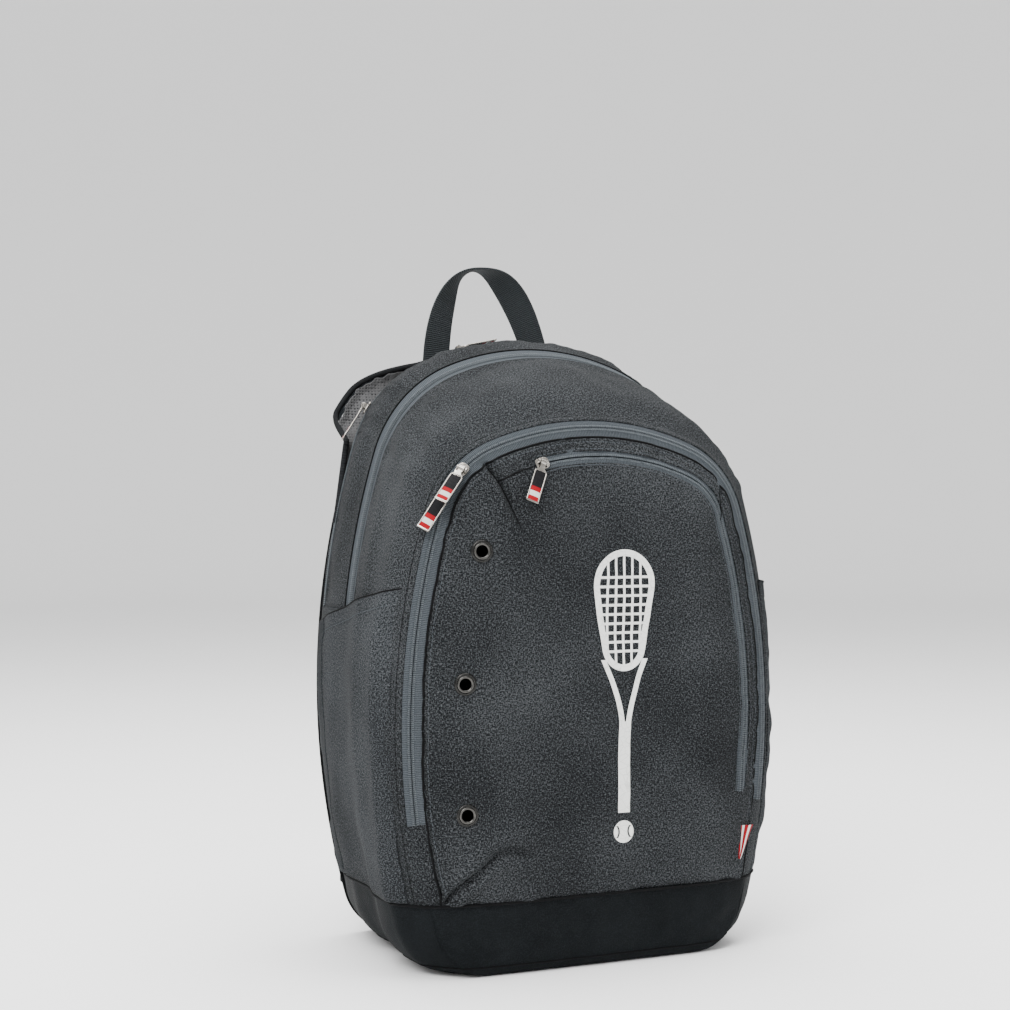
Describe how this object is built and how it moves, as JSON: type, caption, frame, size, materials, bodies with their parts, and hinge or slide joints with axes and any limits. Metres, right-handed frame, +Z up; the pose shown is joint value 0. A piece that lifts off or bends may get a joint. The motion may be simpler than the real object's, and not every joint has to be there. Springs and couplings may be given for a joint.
{
  "type": "racket backpack",
  "caption": "Upright zipped fabric day pack with a rear racket compartment, main and front compartments, slip side pockets, a haul loop and padded straps.",
  "frame": {"origin": "middle of the flat base that the bag stands on, between its side walls", "axes": "+X towards the bag's right as seen from its front, -Y out of its front, +Z up"},
  "size_m": [0.3512, 0.2623, 0.5463],
  "materials": {
    "body_fabric": "heathered charcoal slate polyester, matt",
    "zip_tape": "slate woven tape with nylon coil",
    "base_fabric": "coated dark slate cloth, slight sheen",
    "back_mesh": "air mesh over foam",
    "back_fabric": "plain dark cloth over foam sheet",
    "webbing": "ribbed slate webbing",
    "lining": "padded lining cloth",
    "board": "stiffener board",
    "buckle_plastic": "moulded acetal",
    "nickel": "polished nickel",
    "dark_metal": "dark burnished steel",
    "print": "off-white transfer print",
    "flag_fabric": "woven label, red with a white stripe",
    "pull_insert": "dark insert with red and white stripes"
  },
  "bodies": {
    "bag": {"base_tray": "base_fabric", "base_piping": "base_fabric", "base_board": "board", "back_panel": "back_fabric", "back_pad_left": "back_mesh", "back_pad_right": "back_mesh", "lumbar_pad": "back_mesh", "racket_sleeve": "body_fabric", "sleeve_divider": "lining", "main_shell": "body_fabric", "rear_gusset": "body_fabric", "main_front_wall": "lining", "laptop_sleeve": "lining", "side_pocket_left": "body_fabric", "side_pocket_right": "body_fabric", "front_panel_lower": "body_fabric", "front_zip_body": "zip_tape", "racket_zip": "zip_tape", "main_zip": "zip_tape", "strap_anchor_left": "webbing", "strap_anchor_right": "webbing", "strap_yoke": "body_fabric", "ball_graphic": "print", "side_flag": "flag_fabric"},
    "front_flap": {"front_panel": "body_fabric", "pocket_lining": "lining", "front_zip_flap": "zip_tape", "pocket_zip": "zip_tape", "vent_eyelets": "nickel", "eyelet_washers": "dark_metal", "racket_graphic": "print"},
    "racket_side_slider": {"slider_racket_side": "nickel"},
    "racket_side_pull": {"pull_racket_side": "nickel", "insert_racket_side": "pull_insert"},
    "racket_top_slider": {"slider_racket_top": "nickel"},
    "racket_top_pull": {"pull_racket_top": "nickel", "insert_racket_top": "pull_insert"},
    "main_upper_slider": {"slider_main_upper": "nickel"},
    "main_upper_pull": {"pull_main_upper": "nickel", "insert_main_upper": "pull_insert"},
    "main_lower_slider": {"slider_main_lower": "nickel"},
    "main_lower_pull": {"pull_main_lower": "nickel", "insert_main_lower": "pull_insert"},
    "front_upper_slider": {"slider_front_upper": "nickel"},
    "front_upper_pull": {"pull_front_upper": "nickel", "insert_front_upper": "pull_insert"},
    "front_lower_slider": {"slider_front_lower": "nickel"},
    "front_lower_pull": {"pull_front_lower": "nickel", "insert_front_lower": "pull_insert"},
    "pocket_slider": {"slider_pocket": "nickel"},
    "pocket_pull": {"pull_pocket": "nickel", "insert_pocket": "pull_insert"},
    "haul_loop": {"haul_handle": "webbing"},
    "left_strap": {"shoulder_strap_left": "body_fabric", "strap_webbing_left": "webbing", "ladder_lock_left": "buckle_plastic"},
    "right_strap": {"shoulder_strap_right": "body_fabric", "strap_webbing_right": "webbing", "ladder_lock_right": "buckle_plastic"}
  },
  "joints": [
    {"name": "front_flap_fold", "type": "hinge", "parent": "bag", "child": "front_flap", "pos_m": [0, -0.1077, 0.112], "axis": [1, 0, 0], "range_deg": [0, 55]},
    {"name": "racket_side_slider_run", "type": "hinge", "parent": "bag", "child": "racket_side_slider", "pos_m": [-0.04011, 0.066, 0.3702], "axis": [0, 1, 0], "range_deg": [-15, 0]},
    {"name": "racket_side_pull_swing", "type": "hinge", "parent": "racket_side_slider", "child": "racket_side_pull", "pos_m": [-0.12526, 0.06735, 0.42764], "axis": [0.2285, 0.9613, -0.1541], "range_deg": [0, 125]},
    {"name": "racket_top_slider_run", "type": "hinge", "parent": "bag", "child": "racket_top_slider", "pos_m": [0, 0.066, 0.27094], "axis": [0, 1, 0], "range_deg": [0, 32]},
    {"name": "racket_top_pull_swing", "type": "hinge", "parent": "racket_top_slider", "child": "racket_top_pull", "pos_m": [-0.04182, 0.06735, 0.4765], "axis": [-0.055, -0.9613, 0.2701], "range_deg": [0, 125]},
    {"name": "main_upper_slider_run", "type": "hinge", "parent": "bag", "child": "main_upper_slider", "pos_m": [-0.4538, 0.002, 0.20344], "axis": [0, 1, 0], "range_deg": [-2.8, 0]},
    {"name": "main_upper_pull_swing", "type": "hinge", "parent": "main_upper_slider", "child": "main_upper_pull", "pos_m": [0.15234, 0.002, 0.35457], "axis": [0, -1, 0], "range_deg": [0, 95]},
    {"name": "main_lower_slider_run", "type": "hinge", "parent": "bag", "child": "main_lower_slider", "pos_m": [-0.4538, 0.002, 0.20344], "axis": [0, 1, 0], "range_deg": [0, 2]},
    {"name": "main_lower_pull_swing", "type": "hinge", "parent": "main_lower_slider", "child": "main_lower_pull", "pos_m": [0.1577, 0.002, 0.33119], "axis": [0, -1, 0], "range_deg": [0, 95]},
    {"name": "front_upper_slider_run", "type": "hinge", "parent": "front_flap", "child": "front_upper_slider", "pos_m": [-0.05813, -0.09, 0.3237], "axis": [0, 1, 0], "range_deg": [0, 22]},
    {"name": "front_upper_pull_swing", "type": "hinge", "parent": "front_upper_slider", "child": "front_upper_pull", "pos_m": [-0.112, -0.09396, 0.37572], "axis": [-0.7137, 0.5749, 0.4001], "range_deg": [0, 95]},
    {"name": "front_lower_slider_run", "type": "hinge", "parent": "front_flap", "child": "front_lower_slider", "pos_m": [-0.05813, -0.09, 0.3237], "axis": [0, 1, 0], "range_deg": [-10, 0]},
    {"name": "front_lower_pull_swing", "type": "hinge", "parent": "front_lower_slider", "child": "front_lower_pull", "pos_m": [-0.12394, -0.09396, 0.35943], "axis": [-0.6572, 0.5846, 0.4758], "range_deg": [0, 95]},
    {"name": "pocket_slider_run", "type": "hinge", "parent": "front_flap", "child": "pocket_slider", "pos_m": [0, -0.10013, 0.17982], "axis": [0, 1, 0], "range_deg": [-0.5, 35]},
    {"name": "pocket_pull_swing", "type": "hinge", "parent": "pocket_slider", "child": "pocket_pull", "pos_m": [-0.05002, -0.10476, 0.38045], "axis": [-0.9054, 0.2004, 0.3742], "range_deg": [0, 125]},
    {"name": "haul_loop_swing", "type": "hinge", "parent": "bag", "child": "haul_loop", "pos_m": [0, 0.097, 0.4475], "axis": [1, 0, 0], "range_deg": [-80, 3]},
    {"name": "left_strap_swing", "type": "hinge", "parent": "bag", "child": "left_strap", "pos_m": [-0.044, 0.102, 0.424], "axis": [0.2041, 0.0036, 0.979], "range_deg": [-3, 10]},
    {"name": "right_strap_swing", "type": "hinge", "parent": "bag", "child": "right_strap", "pos_m": [0.044, 0.102, 0.424], "axis": [0.2041, -0.0036, -0.979], "range_deg": [-3, 10]}
  ],
  "couplings": [
    {"joint": "front_lower_pull_swing", "follows": "front_upper_pull_swing", "ratio": 1},
    {"joint": "main_lower_pull_swing", "follows": "main_upper_pull_swing", "ratio": 1}
  ]
}
